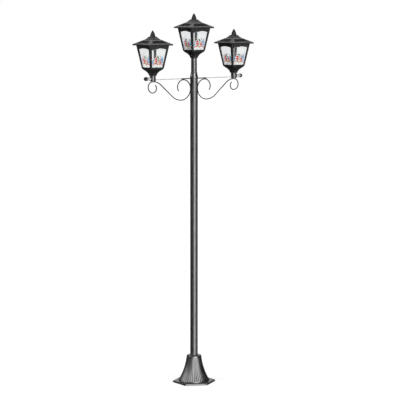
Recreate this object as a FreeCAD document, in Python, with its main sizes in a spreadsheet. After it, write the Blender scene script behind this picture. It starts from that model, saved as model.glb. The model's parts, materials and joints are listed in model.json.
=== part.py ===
"""Triple head lamp post for a garden path: a hexagonal ground plate, a fluted bell cover, a tube post
in sections, two wire scroll arms and three square lanterns, each with a solar roof that lifts off.

Millimetres. The origin is on the ground at the post's axis, +Z is up, the two arms lie along X and
-Y is the front. Every driving dimension is a cell of the sheet "sizes".
"""
import FreeCAD, Part
import math
import os

import Sketcher
from FreeCAD import Placement, Rotation, Vector

SIZES = {
    # ground plate, its bolt and the socket that carries the post
    "plate_flats": 185.7,
    "plate_thick": 9.0,
    "plate_edge": 1.2,
    "anchor_circle": 187.0,
    "anchor_hole": 6.5,
    "anchor_count": 3,
    "bolt_shank": 8.0,
    "bolt_head": 15.0,
    "bolt_head_height": 5.0,
    "bolt_reach": 24.0,
    "socket_flange": 58.0,
    "socket_flange_thick": 4.0,
    "socket_height": 80.0,
    # bell cover
    "bell_foot": 153.0,
    "bell_neck": 73.4,
    "bell_height": 130.5,
    "bell_lip": 4.0,
    "bell_shoulder": 3.0,
    "bell_sweep": 300.0,
    "bell_wall": 2.0,
    # post tubes and the sleeves inside them
    "post_tube": 38.0,
    "post_wall": 1.5,
    "post_seams": 1405.0,
    "tube_edge": 0.5,
    "sleeve_length": 70.0,
    "sleeve_wall": 2.0,
    "slip": 0.1,
    # hub, reducer and stem
    "hub_height": 128.0,
    "reducer_collar": 39.5,
    "reducer_collar_height": 6.2,
    "reducer_cone_height": 12.3,
    "reducer_ring": 32.2,
    "reducer_ring_height": 8.4,
    "reducer_plug": 24.0,
    "stem_tube": 28.8,
    "stem_wall": 1.5,
    "stem_seat": 5.0,
    "grub_screw": 4.0,
    # scroll arms, bent from round wire; their levels are measured from the top seam of the post
    "wire": 5.0,
    "arm_reach": 249.0,
    "eye_radius": 35.0,
    "loop_radius": 43.8,
    "belly_radius": 56.3,
    "sweep_radius": 84.0,
    "crest_radius": 74.0,
    "curl_radius": 27.6,
    "tip_radius": 21.7,
    "loop_rise": 75.5,
    "crest_rise": 115.6,
    "eye_end_rise": 64.4,
    "tip_end_rise": 98.0,
    "weld": 0.05,
    # tie rods and their sleeves at the hub
    "tie_rod": 3.0,
    "tie_sleeve": 5.0,
    "tie_sleeve_reach": 77.5,
    "tie_end": 0.3,
    # seats of the lanterns, above the top seam
    "seat_rise": 224.7,
    "side_drop": 80.0,
    "seat_gap": 0.1,
    "spigot_length": 18.0,
    "spigot_slip": 0.05,
    "spigot_bore": 19.0,
    # clamp screws with their knobs
    "screw": 5.0,
    "screw_drop": 15.0,
    "screw_slip": 0.05,
    "knob": 19.6,
    "knob_length": 15.8,
    "knob_gap": 21.6,
    "knob_edge": 1.0,
    "knob_grip_depth": 6.0,
    "clamp_collar": 15.6,
    "clamp_collar_gap": 0.6,
    "clamp_collar_wall": 0.7,
    "knob_crown": 8.0,
    # lantern body
    "funnel_height": 36.2,
    "funnel_foot": 37.2,
    "funnel_floor": 4.0,
    "body_height": 110.0,
    "body_foot": 77.6,
    "body_head": 115.0,
    "frame_wall": 3.0,
    "stile_foot": 8.7,
    "stile_head": 11.3,
    "sill": 4.5,
    "header_side": 18.8,
    "header_middle": 13.2,
    "pane": 2.0,
    "pane_play": 0.1,
    "pane_margin": 8.0,
    # roof
    "eave": 142.0,
    "eave_thick": 6.0,
    "eave_opening": 98.0,
    "roof_top": 57.0,
    "roof_rise": 22.4,
    "roof_wall": 5.5,
    "cell_low": 5.0,
    "cell_high": 16.0,
    "cell_low_width": 89.0,
    "cell_high_width": 59.0,
    "cell_thick": 2.5,
    "cell_inset": 0.5,
    "cell_play": 0.15,
    # cap and spire
    "cap_foot": 53.0,
    "cap_edge": 1.5,
    "cap_height": 14.6,
    "cap_waist": 39.0,
    "cap_waist_height": 6.0,
    "spire_foot": 27.5,
    "spire_height": 30.6,
    "spire_round": 62.0,
    "spire_tip": 2.5,
    # light under the roof
    "tray": 106.0,
    "tray_thick": 3.0,
    "lamp_case": 62.0,
    "lamp_case_drop": 14.5,
    "lamp_case_bore": 54.0,
    "lamp_floor": 2.0,
    "lamp_well": 48.0,
    "lamp_well_depth": 3.0,
    "board_thick": 1.6,
    "lens": 22.0,
    "lens_drop": 7.0,
    "lens_plug": 16.0,
    "battery": 14.2,
    "battery_length": 50.0,
    "switch_offset": 18.0,
    "switch_stem": 7.8,
    "switch_flange": 10.4,
    "switch_flange_thick": 1.2,
    "switch_drop": 5.0,
    "switch_slip": 0.1,
}

ROOT_THIRD = 1 / math.sqrt(3)      # corner radius of a hexagon over its width across the flats


class Size:
    """A length that keeps both its value and the sheet formula that gives it."""

    def __init__(self, value, formula=None):
        self.value = float(value)
        self.formula = formula if formula else repr(float(value))

    def _join(self, sign, other, value):
        return Size(value, f"({self.formula} {sign} {as_size(other).formula})")

    def __add__(self, other):
        return self._join("+", other, self.value + as_size(other).value)

    def __sub__(self, other):
        return self._join("-", other, self.value - as_size(other).value)

    def __mul__(self, other):
        return self._join("*", other, self.value * as_size(other).value)

    def __truediv__(self, other):
        return self._join("/", other, self.value / as_size(other).value)

    def __rsub__(self, other):
        return as_size(other) - self

    def __neg__(self):
        return Size(-self.value, f"(0 - {self.formula})")


def as_size(number):
    return number if isinstance(number, Size) else Size(number)


doc = FreeCAD.newDocument("lamp_post")
sheet = doc.addObject("Spreadsheet::Sheet", "sizes")
for row, (alias, number) in enumerate(SIZES.items(), start=1):
    sheet.set(f"A{row}", alias)
    sheet.set(f"B{row}", str(number))
    sheet.setAlias(f"B{row}", alias)
doc.recompute()


def cell(alias):
    """The named cell of the sheet, as a Size."""
    return Size(sheet.get(alias), f"sizes.{alias}")


def bind(thing, prop, size):
    thing.setExpression(prop, as_size(size).formula)


# ---------------------------------------------------------------- helpers for bodies and sketches

def new_body(label):
    body = doc.addObject("PartDesign::Body", label)
    body.Label = label
    return body


def origin_feature(body, role):
    return next(item for item in body.Origin.OriginFeatures if item.Role == role)


def sketch_on(body, role, offset=None):
    """A sketch on one of the body's own origin planes, lifted off it where an offset is given."""
    sketch = body.newObject("Sketcher::SketchObject", "Sketch")
    sketch.AttachmentSupport = [(origin_feature(body, role), "")]
    sketch.MapMode = "FlatFace"
    if offset is not None:
        bind(sketch, "AttachmentOffset.Base.z", offset)
    return sketch


def measured(sketch, kind, elements, size):
    """Add a driving constraint and bind it to the sheet."""
    index = sketch.addConstraint(Sketcher.Constraint(kind, *elements, size.value))
    bind(sketch, f"Constraints[{index}]", size)


def pin_point(sketch, geometry, end, x, y):
    """Hold one end of a curve at (x, y), or on an axis where a coordinate is plainly zero."""
    for kind, axis, size in (("DistanceX", -2, as_size(x)), ("DistanceY", -1, as_size(y))):
        if size.value == 0:
            sketch.addConstraint(Sketcher.Constraint("PointOnObject", geometry, end, axis))
        else:
            measured(sketch, kind, (-1, 1, geometry, end), size)


def end_near(sketch, geometry, point):
    """Which end of a curve, 1 or 2, lies at the point: an arc may be stored the other way round."""
    start = sketch.getPoint(geometry, 1)
    finish = sketch.getPoint(geometry, 2)
    return 1 if (start - point).Length < (finish - point).Length else 2


def arc_between(start, finish, radius, side):
    """The short arc from start to finish whose centre lies on the named side of that way."""
    chord = finish - start
    left = Vector(-chord.y, chord.x, 0).normalize()
    if side == "right":
        left = -left
    reach = math.sqrt(radius ** 2 - (chord.Length / 2) ** 2)
    middle = (start + finish) / 2
    return Part.Arc(start, middle + left * (reach - radius), finish)


def draw_loop(sketch, corners):
    """Draw a closed outline. A corner is (x, y), and (x, y, radius, side) where an arc leaves it."""
    points = [Vector(as_size(c[0]).value, as_size(c[1]).value, 0) for c in corners]
    pieces = []
    for index, corner in enumerate(corners):
        start, finish = points[index], points[(index + 1) % len(points)]
        if len(corner) == 2:
            pieces.append(sketch.addGeometry(Part.LineSegment(start, finish)))
        else:
            radius = as_size(corner[2])
            pieces.append(sketch.addGeometry(arc_between(start, finish, radius.value, corner[3])))
            measured(sketch, "Radius", (pieces[-1],), radius)
    for index, corner in enumerate(corners):
        here, before = pieces[index], pieces[index - 1]
        near = end_near(sketch, here, points[index])
        far = end_near(sketch, before, points[index])
        sketch.addConstraint(Sketcher.Constraint("Coincident", before, far, here, near))
        pin_point(sketch, here, near, corner[0], corner[1])


def draw_circle(sketch, x, y, diameter):
    centre = Vector(as_size(x).value, as_size(y).value, 0)
    circle = sketch.addGeometry(Part.Circle(centre, Vector(0, 0, 1), diameter.value / 2))
    measured(sketch, "Diameter", (circle,), diameter)
    pin_point(sketch, circle, 3, x, y)


def draw_rectangle(sketch, left, right, low, high):
    draw_loop(sketch, [(left, low), (right, low), (right, high), (left, high)])


def draw_soft_square(sketch, half, corner):
    """A square about the origin, of the given half width, with round corners."""
    flat = half - corner
    draw_loop(sketch, [
        (-flat, -half), (flat, -half, corner, "left"), (half, -flat), (half, flat, corner, "left"),
        (flat, half), (-flat, half, corner, "left"), (-half, flat), (-half, -flat, corner, "left"),
    ])


def turn(body, corners, cut=False):
    """Turn a half outline, drawn as (radius, height) corners, about the body's Z axis."""
    sketch = sketch_on(body, "XZ_Plane")
    draw_loop(sketch, corners)
    kind = "PartDesign::Groove" if cut else "PartDesign::Revolution"
    feature = body.newObject(kind, "Turned")
    feature.Profile = sketch
    feature.ReferenceAxis = (sketch, ["V_Axis"])
    feature.Angle = 360
    return feature


def pad(body, sketch, length):
    feature = body.newObject("PartDesign::Pad", "Pad")
    feature.Profile = sketch
    bind(feature, "Length", length)
    return feature


def cut_through(body, sketch, length=None, both_ways=False, other_way=False):
    """Cut a sketch through the body, or as deep as length says; both_ways also cuts behind it."""
    feature = body.newObject("PartDesign::Pocket", "Pocket")
    feature.Profile = sketch
    feature.Reversed = other_way
    if length is None:
        feature.Type = "ThroughAll"
    else:
        bind(feature, "Length", length)
    feature.Midplane = both_ways
    return feature


def loft(body, sketches, cut=False, ruled=True):
    kind = "PartDesign::SubtractiveLoft" if cut else "PartDesign::AdditiveLoft"
    feature = body.newObject(kind, "Loft")
    feature.Profile = sketches[0]
    feature.Sections = sketches[1:]
    feature.Ruled = ruled
    return feature


def repeat_round(body, feature, count):
    """Copy a feature round the body's Z axis."""
    pattern = body.newObject("PartDesign::PolarPattern", "Pattern")
    pattern.Originals = [feature]
    pattern.Axis = (origin_feature(body, "Z_Axis"), [""])
    pattern.Angle = 360
    bind(pattern, "Occurrences", count)
    body.Tip = pattern
    return pattern


def square_frustum(body, low_level, low_half, high_level, high_half, cut=False):
    """A four-sided taper between two level squares about the Z axis."""
    sketches = []
    for level, half in ((low_level, low_half), (high_level, high_half)):
        sketch = sketch_on(body, "XY_Plane", level)
        draw_rectangle(sketch, -half, half, -half, half)
        sketches.append(sketch)
    return loft(body, sketches, cut)


def leaning_plate(body, low, high, thick, cut=False):
    """A plate that leans like a wall of the lantern. low and high are (level, half width, distance
    of its outer face from the axis); the thickness is measured level."""
    sketches = []
    for level, half, outer in (low, high):
        sketch = sketch_on(body, "XY_Plane", level)
        draw_rectangle(sketch, -half, half, -outer, thick - outer)
        sketches.append(sketch)
    return loft(body, sketches, cut)


def place(body, x=0, z=0, rotation=None):
    """Set a body at (x, 0, z), turned where a rotation is given."""
    if rotation is not None:
        body.Placement = Placement(Vector(0, 0, 0), rotation)
    bind(body, "Placement.Base.x", x)
    bind(body, "Placement.Base.z", z)


ALONG_X = Rotation(Vector(0, 1, 0), 90)          # turns a piece's own +Z to +X
ALONG_MINUS_X = Rotation(Vector(0, 1, 0), -90)   # turns a piece's own +Z to -X
ABOUT_FACE = Rotation(Vector(0, 0, 1), 180)
SIDES = {"left": (-1, ABOUT_FACE, ALONG_MINUS_X), "right": (1, Rotation(), ALONG_X)}


# ---------------------------------------------------------------- levels that more than one piece uses

plate_top = cell("plate_thick")
post_foot = plate_top + cell("socket_flange_thick")
post_bore = cell("post_tube") / 2 - cell("post_wall")
section_length = (cell("post_seams") - post_foot) / 3
hub_top = cell("post_seams") + cell("hub_height")
ring_top = (hub_top + cell("reducer_collar_height") + cell("reducer_cone_height")
            + cell("reducer_ring_height"))
stem_foot = hub_top + cell("stem_seat")
stem_bore = cell("stem_tube") / 2 - cell("stem_wall")
hub_skin = cell("post_tube") / 2
wire_radius = cell("wire") / 2
seat_level = cell("post_seams") + cell("seat_rise")
loop_level = cell("post_seams") + cell("loop_rise")
crest_level = cell("post_seams") + cell("crest_rise")
tie_level = (loop_level + cell("loop_radius") + wire_radius + cell("tie_sleeve") / 2
             + cell("weld"))
neck_foot = crest_level + wire_radius + cell("weld")
side_seat = seat_level - cell("side_drop")
screw_level = side_seat - cell("screw_drop")
spigot_radius = stem_bore - cell("spigot_slip")

# lantern levels, counted from the seat that the funnel stands on
body_foot = cell("seat_gap") + cell("funnel_height")
body_top = body_foot + cell("body_height")
pane_height = cell("body_height") - cell("pane_margin")
eave_top = body_top + cell("eave_thick")
roof_peak = eave_top + cell("roof_rise")
body_lean = (cell("body_head") - cell("body_foot")) / 2 / cell("body_height")
roof_lean = (cell("eave") - cell("roof_top")) / 2 / cell("roof_rise")


def body_half(level):
    """Half width of the lantern's outer wall at a level."""
    return cell("body_foot") / 2 + (level - body_foot) * body_lean


def roof_half(level):
    """Half width of the roof's slope at a level."""
    return cell("eave") / 2 - (level - eave_top) * roof_lean


# ---------------------------------------------------------------- foot

def make_base_plate():
    body = new_body("base_plate")
    across = cell("plate_flats") / 2
    corner = cell("plate_flats") * ROOT_THIRD
    sketch = sketch_on(body, "XY_Plane")
    draw_loop(sketch, [(0, corner), (-across, corner / 2), (-across, -corner / 2),
                       (0, -corner), (across, -corner / 2), (across, corner / 2)])
    plate = pad(body, sketch, plate_top)
    doc.recompute()
    top = max(range(len(plate.Shape.Faces)), key=lambda i: plate.Shape.Faces[i].CenterOfMass.z)
    edge = body.newObject("PartDesign::Chamfer", "Edge")
    edge.Base = (plate, [f"Face{top + 1}"])
    bind(edge, "Size", cell("plate_edge"))
    sketch = sketch_on(body, "XY_Plane")
    draw_circle(sketch, 0, cell("anchor_circle") / 2, cell("anchor_hole"))
    anchor = cut_through(body, sketch, both_ways=True)
    repeat_round(body, anchor, cell("anchor_count"))
    shank = cell("bolt_shank") / 2 + cell("slip")
    head = cell("bolt_head") / 2 + 1
    depth = cell("bolt_head_height") + cell("slip")
    turn(body, [(0, 0), (head, 0), (head, depth), (shank, depth), (shank, plate_top), (0, plate_top)],
         cut=True)


def make_base_bolt():
    """Hexagon-headed bolt that comes up through the plate into the socket."""
    body = new_body("base_bolt")
    corner = cell("bolt_head") / 2
    sketch = sketch_on(body, "XY_Plane", cell("slip"))
    draw_loop(sketch, [(corner, 0), (corner / 2, corner * 0.866), (-corner / 2, corner * 0.866),
                       (-corner, 0), (-corner / 2, -corner * 0.866), (corner / 2, -corner * 0.866)])
    pad(body, sketch, cell("bolt_head_height"))
    radius = cell("bolt_shank") / 2
    turn(body, [(0, cell("bolt_head_height")), (radius, cell("bolt_head_height")),
                (radius, cell("bolt_reach") - 1), (radius - 1, cell("bolt_reach")),
                (0, cell("bolt_reach"))])


def make_base_socket():
    """Flanged spigot on the plate: the lowest tube slips over it."""
    body = new_body("base_socket")
    flange = cell("socket_flange") / 2
    spigot = post_bore - cell("slip")
    inner = spigot - cell("sleeve_wall") * 2
    thread = cell("bolt_shank") / 2 + cell("slip")
    floor = cell("bolt_reach") - plate_top
    high = cell("socket_height")
    turn(body, [(thread, 0), (flange, 0), (flange, cell("socket_flange_thick")),
                (spigot, cell("socket_flange_thick")), (spigot, high - 1), (spigot - 1, high),
                (inner, high), (inner, floor), (thread, floor)])
    place(body, 0, plate_top)


def make_base_bell():
    """Thin bell that covers the socket, swept in from its foot to a small shoulder at the tube."""
    body = new_body("base_bell")
    wall = cell("bell_wall")
    foot, neck = cell("bell_foot") / 2, cell("bell_neck") / 2
    bore = hub_skin + cell("slip") * 3
    lip, high = cell("bell_lip"), cell("bell_height")
    shoulder = high - cell("bell_shoulder")
    turn(body, [(foot - wall, 0), (foot, 0), (foot, lip, cell("bell_sweep"), "right"),
                (neck, shoulder), (neck - 4, high), (bore, high), (bore, high - wall),
                (neck - 4 - wall * 0.4, high - wall), (neck - wall, shoulder - wall, cell("bell_sweep"),
                                                       "left"), (foot - wall, lip)])
    place(body, 0, plate_top)


# ---------------------------------------------------------------- post

def make_tube(label, outer, bore, foot, length):
    body = new_body(label)
    edge = cell("tube_edge")
    turn(body, [(bore, 0), (outer - edge, 0), (outer, edge), (outer, length - edge),
                (outer - edge, length), (bore, length)])
    place(body, 0, foot)
    return body


def make_post():
    for index, name in enumerate(("lower", "middle", "upper")):
        make_tube(f"pole_{name}", hub_skin, post_bore, post_foot + section_length * index,
                  section_length)
        outer = post_bore - cell("slip")
        seam = post_foot + section_length * (index + 1)
        make_tube(f"joiner_{name}", outer, outer - cell("sleeve_wall"),
                  seam - cell("sleeve_length") / 2, cell("sleeve_length"))


def make_arm_hub():
    """Top tube of the post, drilled across for the tie sleeves."""
    body = make_tube("arm_hub", hub_skin, post_bore, cell("post_seams"), cell("hub_height"))
    sketch = sketch_on(body, "YZ_Plane")
    draw_circle(sketch, 0, tie_level - cell("post_seams"), cell("tie_sleeve") + cell("slip"))
    cut_through(body, sketch, both_ways=True)


def make_reducer():
    """Turned fitting that steps the post down to the stem of the middle lantern."""
    body = new_body("reducer")
    collar, ring = cell("reducer_collar") / 2, cell("reducer_ring") / 2
    plug = post_bore - cell("slip")
    seat = cell("stem_tube") / 2 + cell("slip")
    bore = plug - cell("sleeve_wall") * 2
    collar_top = cell("reducer_collar_height")
    cone_top = collar_top + cell("reducer_cone_height")
    top = cone_top + cell("reducer_ring_height")
    turn(body, [(bore, -cell("reducer_plug")), (plug, -cell("reducer_plug")), (plug, 0),
                (collar - 0.8, 0), (collar, 0.8), (collar, collar_top),
                (ring, cone_top), (ring, top - 1.2), (ring - 1.2, top),
                (seat, top), (seat, cell("stem_seat")), (bore, cell("stem_seat"))])
    sketch = sketch_on(body, "YZ_Plane")
    draw_circle(sketch, 0, cone_top + cell("reducer_ring_height") / 2,
                cell("grub_screw") + cell("screw_slip") * 2)
    cut_through(body, sketch, length=ring + 1)
    place(body, 0, hub_top)


def make_stem():
    """Thin tube that carries the middle lantern; it stands on the seat inside the reducer."""
    make_tube("stem", cell("stem_tube") / 2, stem_bore, stem_foot, seat_level - stem_foot)


def make_stem_screw():
    """Grub screw that holds the stem in the reducer."""
    body = new_body("stem_screw")
    length = (cell("reducer_ring") - cell("stem_tube")) / 2
    radius = cell("grub_screw") / 2
    turn(body, [(0, 0), (radius, 0), (radius, length), (radius / 2, length),
                (radius / 2, length - 0.8), (0, length - 0.8)])
    place(body, -cell("stem_tube") / 2 - cell("weld"),
          ring_top - cell("reducer_ring_height") / 2, ALONG_MINUS_X)


# ---------------------------------------------------------------- arms

def draw_scroll(sketch):
    """The bent line of one arm: a chain of arcs that run smoothly into each other, from the eye
    beside the post, down and out to the crest under the lantern, and round its curl."""
    def at(x, y):
        return Vector(x, y, 0)

    loop, belly, eye = (cell(f"{name}_radius").value for name in ("loop", "belly", "eye"))
    sweep, crest, curl, tip = (cell(f"{name}_radius").value for name in ("sweep", "crest", "curl", "tip"))
    level, high, reach = loop_level.value, crest_level.value, cell("arm_reach").value
    eye_end, tip_end = (cell("post_seams") + cell(f"{name}_rise") for name in ("eye_end", "tip_end"))
    inner = (hub_skin + wire_radius + cell("weld")).value
    loop_x, belly_x = inner + loop, inner + belly
    belly_foot = level - belly
    sweep_y, crest_y = belly_foot + sweep, high - crest
    # the straight between the sweep and the crest touches both circles, which lie on its two sides
    across, rise = reach - belly_x, crest_y - sweep_y
    lean = math.atan2(rise, across) + math.asin((sweep + crest) / math.hypot(across, rise))

    def round_point(x, y, radius, angle):
        return at(x + radius * math.cos(angle), y + radius * math.sin(angle))

    eye_y = level + loop - eye
    eye_angle = math.asin((eye_end.value - eye_y) / eye)
    curl_y = high - curl
    tip_y = curl_y - curl + tip
    tip_angle = math.pi - math.asin((tip_end.value - tip_y) / tip)
    quarter = math.pi / 2
    rounds = [
        ("arc", loop_x, eye_y, eye, eye_angle, quarter),
        ("arc", loop_x, level, loop, quarter, 2 * quarter),
        ("arc", belly_x, level, belly, 2 * quarter, 3 * quarter),
        ("arc", belly_x, sweep_y, sweep, -quarter, lean - quarter),
        ("line",),
        ("arc", reach, crest_y, crest, lean + quarter, quarter),
        ("arc", reach, curl_y, curl, quarter, -quarter),
        ("arc", reach, tip_y, tip, -quarter, -2 * math.pi + tip_angle),
    ]
    ends = []
    for item in rounds:
        if item[0] == "line":
            ends.append(None)
            continue
        _, x, y, radius, first, last = item
        ends.append([round_point(x, y, radius, angle) for angle in (first, (first + last) / 2, last)])
    ends[4] = [ends[3][2], None, ends[5][0]]
    pieces = []
    for item, (first, middle, last) in zip(rounds, ends):
        curve = Part.LineSegment(first, last) if middle is None else Part.Arc(first, middle, last)
        pieces.append(sketch.addGeometry(curve))
    for before, after in zip(range(7), range(1, 8)):
        point = ends[after][0]
        sketch.addConstraint(Sketcher.Constraint(
            "Tangent", pieces[before], end_near(sketch, pieces[before], point),
            pieces[after], end_near(sketch, pieces[after], point)))
    for piece, name in zip((0, 1, 2, 3, 5, 6, 7),
                           ("eye", "loop", "belly", "sweep", "crest", "curl", "tip")):
        measured(sketch, "Radius", (pieces[piece],), cell(f"{name}_radius"))
    for first, second in ((0, 1), (2, 3), (5, 6), (6, 7)):
        sketch.addConstraint(Sketcher.Constraint("Vertical", pieces[first], 3, pieces[second], 3))
    sketch.addConstraint(Sketcher.Constraint("Horizontal", pieces[1], 3, pieces[2], 3))
    join = end_near(sketch, pieces[1], ends[1][2])
    pin_point(sketch, pieces[1], join, hub_skin + wire_radius + cell("weld"), loop_level)
    top = end_near(sketch, pieces[5], ends[5][2])
    pin_point(sketch, pieces[5], top, cell("arm_reach"), crest_level)
    for piece, point, end_level in ((0, ends[0][0], eye_end), (7, ends[7][2], tip_end)):
        measured(sketch, "DistanceY", (-1, 1, pieces[piece], end_near(sketch, pieces[piece], point)),
                 end_level)


def make_scroll(name, turned):
    body = new_body(f"scroll_{name}")
    path = sketch_on(body, "XZ_Plane")
    draw_scroll(path)
    doc.recompute()
    section = body.newObject("Sketcher::SketchObject", "Section")
    section.AttachmentSupport = [(path, "Edge1")]
    section.MapMode = "NormalToEdge"
    draw_circle(section, 0, 0, cell("wire"))
    pipe = body.newObject("PartDesign::AdditivePipe", "Wire")
    pipe.Profile = section
    pipe.Spine = (path, [])
    place(body, 0, 0, turned)


def make_tie(name, sign, lying):
    """Bright rod along the top of the arm, and the sleeve that holds it in the hub."""
    start = post_bore + cell("weld")
    for label, outer, bore, finish in (
            (f"tie_sleeve_{name}", cell("tie_sleeve") / 2, cell("tie_rod") / 2 + cell("screw_slip"),
             cell("tie_sleeve_reach")),
            (f"tie_rod_{name}", cell("tie_rod") / 2, None,
             cell("arm_reach") + cell("stem_tube") / 2 + cell("tie_end"))):
        body = new_body(label)
        length = finish - start
        inner = 0 if bore is None else bore
        edge = cell("tube_edge")
        turn(body, [(inner, 0), (outer, 0), (outer, length - edge), (outer - edge, length),
                    (inner, length)])
        place(body, start * sign, tie_level, lying)


def make_neck(name, sign, turned):
    """Short tube on the arm's crest that takes the lantern's spigot."""
    body = new_body(f"neck_{name}")
    outer, edge = cell("stem_tube") / 2, cell("tube_edge")
    length = side_seat - neck_foot
    turn(body, [(stem_bore, 0), (outer, 0), (outer, length - edge), (outer - edge, length),
                (stem_bore, length)])
    sketch = sketch_on(body, "YZ_Plane")
    draw_circle(sketch, 0, tie_level - neck_foot, cell("tie_rod") + cell("screw_slip") * 2)
    cut_through(body, sketch, both_ways=True)
    sketch = sketch_on(body, "YZ_Plane")
    draw_circle(sketch, 0, screw_level - neck_foot, cell("screw") + cell("screw_slip") * 2)
    cut_through(body, sketch, length=outer + 1, other_way=True)
    place(body, cell("arm_reach") * sign, neck_foot, turned)


def make_clamp(name, sign, lying):
    """Clamp screw with a hollow collar, through the neck's outer wall, with a round knob moulded on its end."""
    tip = spigot_radius + cell("slip")
    face = cell("stem_tube") / 2 + cell("knob_gap")
    radius = cell("screw") / 2
    start = cell("arm_reach") + tip
    length = face - tip + cell("knob_grip_depth")
    collar, wall = cell("clamp_collar") / 2, cell("clamp_collar_wall")
    inner_end = cell("stem_tube") / 2 + cell("clamp_collar_gap") - tip
    outer_end = face - tip - cell("slip")
    screw = new_body(f"clamp_screw_{name}")
    turn(screw, [(0, 0), (radius - 0.6, 0), (radius, 0.6), (radius, inner_end),
                 (collar - 0.8, inner_end), (collar, inner_end + 0.8), (collar, outer_end),
                 (collar - wall, outer_end), (collar - wall, inner_end + wall + 0.8),
                 (radius, inner_end + wall + 0.8), (radius, length), (0, length)])
    place(screw, start * sign, screw_level, lying)
    knob = new_body(f"knob_{name}")
    outer, edge, long = cell("knob") / 2, cell("knob_edge"), cell("knob_length")
    bore = radius + cell("screw_slip")
    blind = cell("knob_grip_depth") + cell("slip")
    crown = cell("knob_crown")
    dome = (outer * outer + crown * crown) / (crown * 2)
    turn(knob, [(0, blind), (bore, blind), (bore, 0), (outer - edge, 0), (outer, edge),
                (outer, long - crown, dome, "left"), (0, long)])
    place(knob, (cell("arm_reach") + face) * sign, screw_level, lying)


# ---------------------------------------------------------------- lanterns

def make_funnel(name, x, z):
    """Base of the lantern: a round foot that flares to the square floor, with a spigot below."""
    body = new_body(f"funnel_{name}")
    gap = cell("seat_gap")
    foot, top = cell("funnel_foot") / 2, cell("body_foot") / 2
    height = cell("funnel_height")
    spread = top - foot
    # share of the height, share of the spread, share of the half width that is rounded off
    flare = ((0.0, 0.0, 0.985), (0.22, 0.105, 0.93), (0.42, 0.27, 0.70), (0.62, 0.51, 0.40),
             (0.81, 0.82, 0.15), (1.0, 1.0, 0.05))
    sketches = []
    for level, share, softness in flare:
        sketch = sketch_on(body, "XY_Plane", gap + height * level)
        half = foot + spread * share
        draw_soft_square(sketch, half, half * softness)
        sketches.append(sketch)
    loft(body, sketches, ruled=False)
    deep = -cell("spigot_length")
    turn(body, [(0, deep), (spigot_radius - 0.6, deep), (spigot_radius, deep + 0.6),
                (spigot_radius, gap + 1), (0, gap + 1)])
    bore = cell("spigot_bore") / 2
    ceiling = gap + height - cell("funnel_floor")
    turn(body, [(0, deep), (bore, deep), (bore, gap + height * 0.22), (top - 12, ceiling), (0, ceiling)],
         cut=True)
    place(body, x, z)


def make_frame(name, x, z):
    """Tapered lantern frame with an arched window in each wall."""
    body = new_body(f"frame_{name}")
    wall = cell("frame_wall")
    square_frustum(body, body_foot, body_half(body_foot), body_top, body_half(body_top))
    square_frustum(body, body_foot, body_half(body_foot) - wall, body_top, body_half(body_top) - wall,
                   cut=True)
    sill = body_foot + cell("sill")
    spring = body_top - cell("header_side")
    low = body_half(sill) - cell("stile_foot")
    high = body_half(spring) - cell("stile_head")
    rise = cell("header_side") - cell("header_middle")
    arch = (high * high + rise * rise) / (rise * 2)
    for role in ("XZ_Plane", "YZ_Plane"):
        sketch = sketch_on(body, role)
        draw_loop(sketch, [(-low, sill), (low, sill), (high, spring, arch, "left"), (-high, spring)])
        cut_through(body, sketch, both_ways=True)
    place(body, x, z)


def make_panes(name, x, z):
    """Four flat panes that stand on the floor inside the frame's walls."""
    body = new_body(f"panes_{name}")
    thick = cell("pane")
    ends = []
    for level in (body_foot, body_foot + pane_height):
        outer = body_half(level) - cell("frame_wall")
        ends.append((level, outer - thick - cell("pane_play"), outer))
    pane = leaning_plate(body, *ends, thick)
    repeat_round(body, pane, as_size(4))
    place(body, x, z)


def cell_plate(body, outset, depth, play, cut=False):
    """A plate let into each roof slope: outset from the slope, measured level, and its depth."""
    ends = []
    for rise_name, width_name in (("cell_low", "cell_low_width"), ("cell_high", "cell_high_width")):
        shift = play if rise_name == "cell_high" else -play
        level = eave_top + cell(rise_name) + shift
        ends.append((level, cell(width_name) / 2 + play, roof_half(level) + outset))
    return leaning_plate(body, *ends, depth, cut)


def make_roof(name, x, z):
    """Pyramid roof over a square eave, hollow, with a shallow tray in each slope for a solar cell."""
    body = new_body(f"roof_{name}")
    sketch = sketch_on(body, "XY_Plane", body_top)
    half, opening = cell("eave") / 2, cell("eave_opening") / 2
    draw_rectangle(sketch, -half, half, -half, half)
    draw_rectangle(sketch, -opening, opening, -opening, opening)
    pad(body, sketch, cell("eave_thick"))
    square_frustum(body, eave_top, roof_half(eave_top), roof_peak, roof_half(roof_peak))
    wall = cell("roof_wall")
    ceiling = roof_peak - wall / roof_lean
    square_frustum(body, eave_top, roof_half(eave_top) - wall, ceiling, roof_half(ceiling) - wall,
                   cut=True)
    tray = cell_plate(body, as_size(2), cell("cell_inset") + cell("cell_thick") + 2, cell("cell_play"),
                      cut=True)
    repeat_round(body, tray, as_size(4))
    place(body, x, z)


def make_solar_cells(name, x, z):
    body = new_body(f"solar_cells_{name}")
    panel = cell_plate(body, -cell("cell_inset"), cell("cell_thick") - cell("weld"), as_size(0))
    repeat_round(body, panel, as_size(4))
    place(body, x, z)


def make_finial(name, x, z):
    """Square cap that flares up from the roof's top into a round spire."""
    body = new_body(f"finial_{name}")
    low = roof_peak
    edge = low + cell("cap_edge")
    waist = edge + cell("cap_waist_height")
    high = low + cell("cap_height")
    sketch = sketch_on(body, "XY_Plane", low)
    half = cell("cap_foot") / 2
    draw_rectangle(sketch, -half, half, -half, half)
    pad(body, sketch, cell("cap_edge"))
    square_frustum(body, edge, half, waist, cell("cap_waist") / 2)
    square_frustum(body, waist, cell("cap_waist") / 2, high, cell("spire_foot") / 2)
    foot, tip = cell("spire_foot") / 2, cell("spire_tip") / 2
    turn(body, [(0, high), (foot, high, cell("spire_round"), "left"),
                (tip, high + cell("spire_height") - 1), (0, high + cell("spire_height"))])
    place(body, x, z)


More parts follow.
